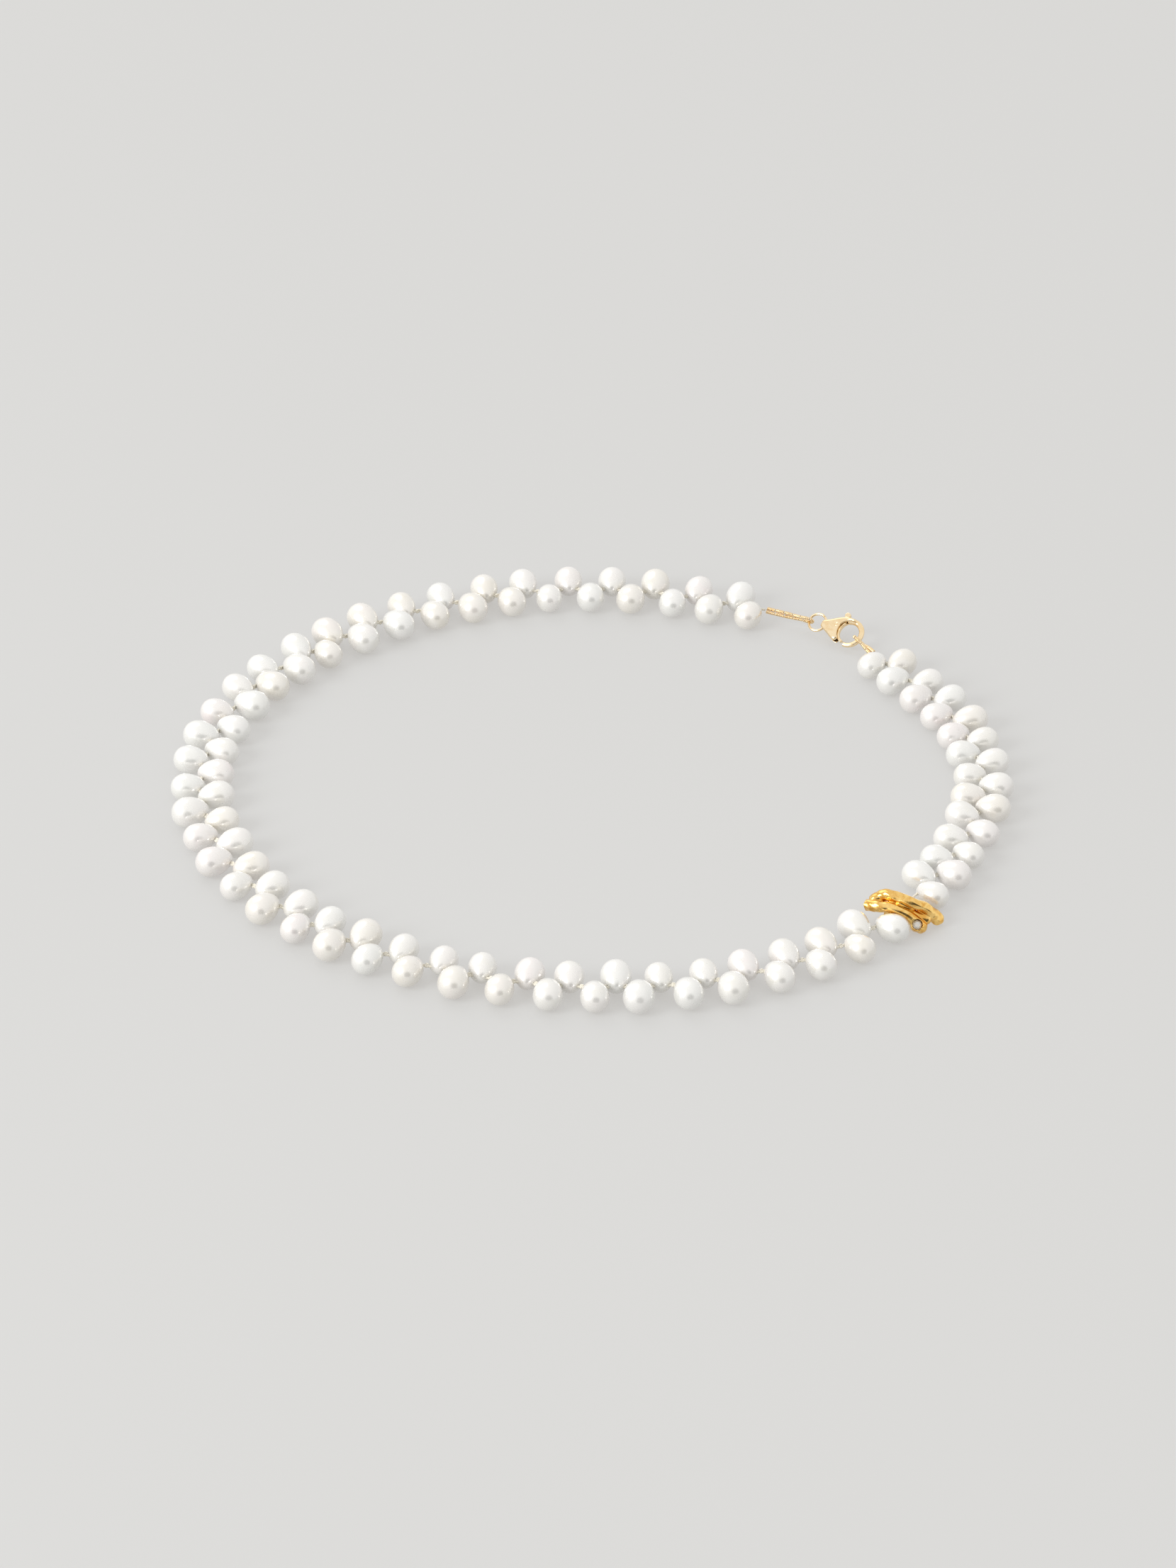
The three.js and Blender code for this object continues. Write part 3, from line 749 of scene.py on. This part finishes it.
def in_clasp(points):
    """Points given in millimetres along the clasp's axes, in the row frame."""
    points = np.atleast_2d(points) * MM
    return HOOK_CENTRE + points @ np.stack([CLASP_U, CLASP_V, CLASP_W])


def closed_outline(points):
    """A smooth closed outline through the points, in the clasp's plane."""
    ring = np.array(points + points[:3], float)
    line = curve_points(np.hstack([ring, np.zeros((len(ring), 1))]), 8)
    return line[8:-16, :2]


TEARDROP = closed_outline([
    (-6.25, -0.62), (-5.6, -1.0), (-4.5, -1.5), (-3.4, -2.12), (-2.5, -2.5), (-1.95, -2.42),
    (-1.3, -1.2), (-0.5, 0.6), (0.45, 2.0), (0.35, 2.78), (-0.7, 2.98), (-1.9, 2.82),
    (-3.3, 2.22), (-4.6, 1.52), (-5.6, 1.05), (-6.25, 0.66),
])
SLOT = np.array([
    (-3.45, 3.6), (-4.4, 1.3), (-4.4, -0.2), (-3.6, -3.0), (0.0, -3.0), (0.0, 1.9),
    (-1.3, 2.3), (-1.3, 3.6),
])


def pin_hole_field(p, radius):
    return np.sqrt((p[:, 0] - PIVOT[0]) ** 2 + (p[:, 1] - PIVOT[1]) ** 2) - radius


def clasp_shell_field(p):
    """The teardrop shell with its slot, bail hole and hook, cast in one."""
    thin = 1 - 0.3 * np.clip((-p[:, 0] - 2.5) / 3.7, 0, 1) ** 1.5
    shell = plate_field(p, outline_field(p, TEARDROP), SHELL_HALF_THICKNESS * thin, 0.5)
    hole = np.sqrt((p[:, :2] ** 2).sum(1)) - SHELL_OPENING_RADIUS
    shell = smooth_cut(shell, hole, 0.18)
    steps = 44
    hook_line = np.hstack([arc(HOOK_RADIUS, HOOK_START, HOOK_END, steps), np.zeros((steps, 1))])
    hook = bar_field(p, hook_line, np.linspace(0.6, 0.46, steps))
    tip = np.array([math.sin(math.radians(HOOK_END)), -math.cos(math.radians(HOOK_END))])
    cut_end = (p[:, :2] - HOOK_RADIUS * arc(1, HOOK_END, HOOK_END, 1)[0]) @ tip - 0.02
    below = p[:, 1] < 0
    hook = np.where(below, np.maximum(hook, cut_end), hook)
    slot = np.maximum(outline_field(p, SLOT), np.abs(p[:, 2]) - 0.56)
    shell = smooth_cut(shell, slot, 0.1)
    body = smooth_union(shell, hook, 0.35)
    nub_room = np.maximum(outline_field(p, SLOT), np.abs(p[:, 2]) - 0.5)
    body = np.where(p[:, 0] < -1.2, np.maximum(body, -nub_room), body)
    bail = np.sqrt((p[:, 0] - BAIL_CENTRE) ** 2 + p[:, 2] ** 2) - BAIL_HOLE_RADIUS
    body = smooth_cut(body, bail, 0.16)
    return np.maximum(body, -pin_hole_field(p, SHELL_PIN_HOLE_RADIUS))


def clasp_gate_field(p):
    """The lever: a curved arm across the hook's mouth, its heel in the slot, and the nub."""
    inner, outer = arc(2.04, 130, 256, 20), arc(2.56, 247, 130, 20)
    arm = plate_field(p, outline_field(p, np.vstack([inner, outer])), 0.4, 0.12)
    heel_outline = np.array([
        (-3.5, 0.1), (-2.95, -0.3), (-2.25, -0.25), (-1.8, 1.35), (-1.6, 2.9), (-2.3, 2.9),
        (-2.7, 1.95), (-3.4, 1.4),
    ])
    heel = plate_field(p, outline_field(p, heel_outline), 0.4, 0.12)
    disc = np.sqrt((p[:, 0] + 1.98) ** 2 + (p[:, 1] - 3.3) ** 2) - 0.62
    nub = plate_field(p, disc, 0.44, 0.2)
    gate = smooth_union(smooth_union(arm, heel, 0.15), nub, 0.2)
    return np.maximum(gate, -pin_hole_field(p, GATE_PIN_HOLE_RADIUS))


def field_piece(name, field, low, high, step, place, material):
    """A piece from a solid field inside the box low to high, in millimetres."""
    points, faces = surface(field, np.array(low), np.array(high), step)
    return mesh_object(name, place(points), faces, material)


def rivet():
    """The clasp's pin with low domed heads."""
    face, dome = 1.0, 0.03
    line, sizes = [], []
    for t in np.linspace(0, math.pi / 2, 7):
        line.append(-face - dome * math.cos(t))
        sizes.append(PIN_RADIUS * math.sin(t) + 0.004)
    line += [-h for h in line[::-1]]
    sizes += sizes[::-1]
    centre = np.array([[PIVOT[0], PIVOT[1], w] for w in line])
    vertices, faces = sweep(centre, np.array(sizes), 28)
    return mesh_object("clasp_rivet", in_clasp(vertices), faces, PALE_GOLD)


def coil_spring():
    """The small spring behind the lever's heel, along the clasp."""
    t = np.linspace(0, 1, 160)
    turn = TAU * SPRING_TURNS * t
    line = np.stack([
        SPRING_START[0] + SPRING_LENGTH * t,
        SPRING_START[1] + SPRING_RADIUS * np.cos(turn),
        SPRING_RADIUS * np.sin(turn),
    ], -1)
    vertices, faces = sweep(line, SPRING_WIRE, 8)
    return mesh_object("clasp_coil_spring", in_clasp(vertices), faces, SPRING_STEEL)


def add_clasp():
    shell = field_piece("clasp_shell", clasp_shell_field, (-6.4, -3.1, -1.15), (3.2, 3.2, 1.15),
                        0.055, in_clasp, PALE_GOLD)
    gate = field_piece("clasp_gate", clasp_gate_field, (-3.6, -2.8, -0.5), (-0.5, 4.0, 0.5),
                       0.045, in_clasp, PALE_GOLD)
    for piece, node, slot in (
        (shell, "clasp_body", "pale_gold"),
        (gate, "clasp_lever", "pale_gold"),
        (rivet(), "clasp_pin", "pale_gold"),
        (coil_spring(), "clasp_spring", "spring_steel"),
    ):
        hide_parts(node)
        if node == "clasp_spring":
            in_clasp((-4.25, 1.0, 0))[0]
            in_clasp((-3.6, 1.0, 0))[0]
            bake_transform(piece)
        else:
            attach(piece, body_of_node[node])


add_clasp()

# ---- jump ring and gold coil loops -------------------------------------------------------

ring_centre = in_clasp((BAIL_CENTRE - 0.1 - RING_RADIUS, 0, 0))[0]


def add_jump_ring():
    flat = arc(RING_RADIUS, 60 + RING_HALF_SLIT, 420 - RING_HALF_SLIT, 120) * MM
    line = ring_centre + flat[:, :1] * CLASP_U + flat[:, 1:] * CLASP_V
    vertices, faces = sweep(line, RING_WIRE * MM, 16)
    piece = mesh_object("link_ring", vertices, faces, PALE_GOLD)
    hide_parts("jump_ring")
    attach(piece, body_of_node["jump_ring"])


def hairpin(end, wire_point, eye_half_width):
    """Centre line of a coil loop: from the last pearl, round a wire and back."""
    leg_spacing, overshoot = 0.36 * MM, 0.25 * MM
    along = unit(wire_point - end)
    base = end + 0.35 * MM * along
    reach = np.linalg.norm(wire_point - base)
    flat = unit(CLASP_V - along * np.dot(CLASP_V, along))
    tall = unit(np.cross(along, flat))
    eye = reach - overshoot
    start = eye - 2.2 * MM
    # Each row: how far along, how far to the side, and the turn from flat to upright.
    leg = [
        (0, leg_spacing, 0), (start * 0.35, leg_spacing, 0.1), (start * 0.7, leg_spacing, 0.45),
        (start, leg_spacing * 1.15, 0.8), (eye - 1.1 * MM, eye_half_width * 0.85, 1),
        (eye, eye_half_width, 1), (eye + eye_half_width * 0.72, eye_half_width * 0.7, 1),
    ]

    def place(row, sign):
        travel, offset, turn = row
        quarter = turn * math.pi / 2
        sideways = math.cos(quarter) * flat + math.sin(quarter) * tall
        return base + travel * along + sign * offset * sideways

    tip = base + along * (eye + eye_half_width)
    points = [place(row, 1) for row in leg] + [tip] + [place(row, -1) for row in leg[::-1]]
    return Path(curve_points(points, 20))


def coil_loop(name, node, path):
    """Fine gold wire wound over the thread in short runs, with the thread in it."""
    run, gap = 1.72 * MM, 0.13 * MM
    coil_radius, wire, pitch = 0.262 * MM, 0.088 * MM, 0.185 * MM
    count = round(path.length / (run + gap))
    parts = []
    for i in range(count):
        start = path.length * i / count
        end = path.length * (i + 1) / count - (gap if i < count - 1 else 0)
        line = path.part(start, end, pitch / 12)
        _, across, over = ring_frames(line)
        turn = np.linspace(0, TAU * (end - start) / pitch, len(line))[:, None]
        coil = line + coil_radius * (np.cos(turn) * across + np.sin(turn) * over)
        parts.append(sweep(coil, wire, 6))
    vertices, faces = joined(parts)
    body = body_of_node[node]
    gimp = mesh_object(name, vertices, faces, PALE_GOLD)
    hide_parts(node)
    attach(gimp, body)
    core = sweep(path.part(0, path.length, 0.2 * MM), 0.12 * MM, 10,
                 lobes=3, depth=0.12, twist=THREAD_TWIST)
    thread = mesh_object(f"{name}_thread", *core, SILK)
    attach(thread, body)


def add_loops():
    left_end, right_end = strand.at(0), strand.at(strand.length)
    left_wire = ring_centre + RING_RADIUS * MM * unit(left_end - ring_centre)
    on_hook = arc(HOOK_RADIUS, RIGHT_LOOP_ANGLE, RIGHT_LOOP_ANGLE, 1)[0]
    right_wire = in_clasp((*on_hook, 0))[0]
    left = hairpin(left_end, left_wire, LEFT_EYE_HALF_WIDTH)
    right = hairpin(right_end, right_wire, RIGHT_EYE_HALF_WIDTH)
    coil_loop("gimp_coil_left", "gimp_loop_left", left)
    coil_loop("gimp_coil_right", "gimp_loop_right", right)


add_jump_ring()
add_loops()

# ---- charm -------------------------------------------------------------------------------

charm_shift = CENTRE_SHIFT / MM
front_line = curve_points(np.array(FRONT_BAR) / MM + charm_shift, 6)
back_line = curve_points(np.array(BACK_BAR) / MM + charm_shift, 6)
BEZEL_AXIS = unit(np.array([0.12, -0.72, 0.68]))
bezel_centre = front_line[-1] + np.array([-0.78, 0.05, 0.2])


def between_bars(front_share, back_share):
    """The point halfway between the bars, at a share of each bar's length."""
    front, back = Path(front_line), Path(back_line)
    return (front.at(front_share * front.length) + back.at(back_share * back.length)) / 2


WEB = np.array([between_bars(0.45, 0.45) - [0, 0, 0.6], between_bars(0.95, 0.92)])
sleeve_from = strand.at(CHARM_START + SLEEVE_START) / MM
sleeve_to = strand.at(CHARM_START + SLEEVE_START + SLEEVE_LENGTH) / MM


def lumps(p):
    """The slow swellings of molten metal."""
    return (0.05 * np.sin(1.9 * p[:, 0] + 1.3 * p[:, 1] + 0.6)
            + 0.04 * np.sin(2.7 * p[:, 1] - 2.1 * p[:, 2] + 1.1 * p[:, 0])
            + 0.025 * np.sin(5.1 * p[:, 2] + 3.3 * p[:, 0]))


def charm_field(p):
    """Two bars, the web between them, two feet, the ribbed sleeve and the bezel, in one."""
    swelling = 0.05 * np.sin(np.linspace(0.4, 8, len(front_line)))
    front_radii = FRONT_BAR_RADIUS + swelling
    front_radii[-8:] += np.linspace(0, 0.14, 8)
    front = bar_field(p, front_line, front_radii)
    start_cut = (front_line[0] - p) @ unit(front_line[1] - front_line[0])
    front = smooth_cut(front, -start_cut, 0.06)
    back_radii = BACK_BAR_RADIUS + 0.06 * np.sin(np.linspace(0, 9, len(back_line)))
    back_radii[-4:] = BACK_BULB_RADIUS
    back = bar_field(p, back_line, back_radii)
    bars = smooth_union(front, back, 0.12)
    bars = smooth_union(bars, bar_field(p, WEB, [WEB_RADIUS] * 2), 0.2)
    saddle = sleeve_from + 0.4 * (sleeve_to - sleeve_from)
    for on_bar in (back_line[len(back_line) // 3], front_line[2 * len(front_line) // 5]):
        foot = bar_field(p, np.array([saddle, on_bar]), [FOOT_RADIUS] * 2)
        bars = smooth_union(bars, foot, 0.25)
    bars = bars + lumps(p)
    axis = unit(sleeve_to - sleeve_from)
    along = (p - sleeve_from) @ axis
    gap = p - sleeve_from - along[:, None] * axis
    off = np.sqrt((gap**2).sum(1))
    length = SLEEVE_LENGTH / MM
    ribs = 0.16 * np.abs(np.sin(math.pi * SLEEVE_RIBS * along / length))
    side, ends = off - SLEEVE_RADIUS - ribs, np.abs(along - length / 2) - length / 2
    sleeve = np.maximum(side, ends) * 0.8
    cast = smooth_union(bars, sleeve, 0.15)
    base, top = bezel_centre - 0.35 * BEZEL_AXIS, bezel_centre + 0.95 * BEZEL_AXIS
    bezel = cylinder_field(p, base, top, BEZEL_RADIUS, 0.12)
    cast = smooth_union(cast, bezel, 0.2)
    seat_base, seat_top = bezel_centre + 0.3 * BEZEL_AXIS, bezel_centre + 2 * BEZEL_AXIS
    seat = cylinder_field(p, seat_base, seat_top, SEAT_RADIUS)
    cast = smooth_cut(cast, seat, 0.1)
    return np.maximum(cast, SLEEVE_BORE_RADIUS - off)


def brilliant(radius):
    """A cut stone as (vertices, faces): table, crown, girdle and pavilion, millimetres."""
    # Each level: its share of the radius, its height, and its turn in facets.
    levels = [(0.55, 0.42, 0), (0.82, 0.27, 0.5), (1.0, 0.1, 0), (1.0, 0.04, 0), (0.0, -0.32, 0)]
    sides = 8
    vertices = []
    for size, height, half_step in levels[:-1]:
        for i in range(sides):
            angle = TAU * (i + half_step) / sides
            vertices.append((radius * size * math.cos(angle), radius * size * math.sin(angle),
                             height))
    vertices.append((0, 0, levels[-1][1]))
    faces = [list(range(sides))]
    for i in range(sides):
        j = (i + 1) % sides
        faces.append([sides + i, j, i])
        faces.append([sides + i, sides + j, j])
        faces.append([2 * sides + i, 2 * sides + j, sides + i])
        faces.append([2 * sides + j, sides + j, sides + i])
        faces.append([3 * sides + i, 3 * sides + j, 2 * sides + j, 2 * sides + i])
        faces.append([4 * sides, 3 * sides + j, 3 * sides + i])
    return np.array(vertices), faces


def add_charm():
    charm = field_piece("molten_charm", charm_field, (49.2, -49.2, -0.2), (65.6, -38.2, 6.9),
                        0.085, lambda p: p * MM, RICH_GOLD)
    vertices, faces = brilliant(STONE_RADIUS)
    side = unit(np.cross(BEZEL_AXIS, UP))
    turned = vertices @ np.stack([side, np.cross(BEZEL_AXIS, side), BEZEL_AXIS])
    place = bezel_centre + 0.5 * BEZEL_AXIS
    stone = mesh_object("charm_crystal", (turned + place) * MM, faces, CRYSTAL, smooth=False)
    for piece, node, slot in ((charm, "charm", "rich_gold"), (stone, "charm_stone", "crystal")):
        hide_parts(node)
        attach(piece, body_of_node[node])


add_charm()


# ---- floor and light ---------------------------------------------------------------------

def add_floor():
    """Pale paper; its faint glow keeps the shadows soft and warm."""
    size = 6.0
    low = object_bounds()[0].z
    corners = [(-size, -size, low), (size, -size, low), (size, size, low), (-size, size, low)]
    material, tree, shader = new_material("floor")
    set_sockets(shader, {
        "Roughness": 0.6,
        "Specular IOR Level": 0.1,
        "Emission Color": (1.0, 0.965, 0.92, 1),
        "Emission Strength": 0.45,
    })
    paper = ramp(tree, noise(tree, 3, detail=2), [(0.3, (0.195, 0.205, 0.212)),
                                                 (0.7, (0.202, 0.212, 0.219))])
    tree.links.new(paper, shader.inputs["Base Color"])
    floor = mesh_object("floor", np.array(corners), [(0, 1, 2, 3)], material, smooth=False)


def area_light(name, direction, distance, size, power, color):
    data = bpy.data.lights.new(name, "AREA")
    data.shape = "DISK"
    data.size = size
    data.energy = power
    data.color = color
    light = bpy.data.objects.new(name, data)
    towards = Vector(direction).normalized()
    light.location = Vector(LOOK_AT) + towards * distance
    light.rotation_euler = towards.to_track_quat("Z", "Y").to_euler()
    bpy.context.scene.collection.objects.link(light)


def studio_world():
    """A pale room with one dim side, low in front, where the camera stands."""
    world = bpy.data.worlds.new("studio")
    bpy.context.scene.world = world
    world.use_nodes = True
    tree = world.node_tree
    background = tree.nodes["Background"]
    coordinates = tree.nodes.new("ShaderNodeTexCoord")
    dim = tree.nodes.new("ShaderNodeVectorMath")
    dim.operation = "DOT_PRODUCT"
    dim.inputs[1].default_value = Vector((0.16, -0.95, 0.26)).normalized()
    tree.links.new(coordinates.outputs["Generated"], dim.inputs[0])
    level = spread(tree, dim.outputs["Value"], low=0.95, high=0.1, from_low=0.86, from_high=0.96)
    tree.links.new(level, background.inputs["Strength"])
    background.inputs["Color"].default_value = (1.0, 0.992, 0.98, 1)


add_floor()
studio_world()
area_light("key", direction=(-0.73, -0.44, 0.52), distance=1.6, size=0.9, power=15.0,
           color=(1.0, 0.985, 0.96))
area_light("top", direction=(-0.35, 0.55, 0.76), distance=2.2, size=1.6, power=5.0,
           color=(1.0, 0.99, 0.975))
bpy.context.scene.view_settings.view_transform = "Standard"
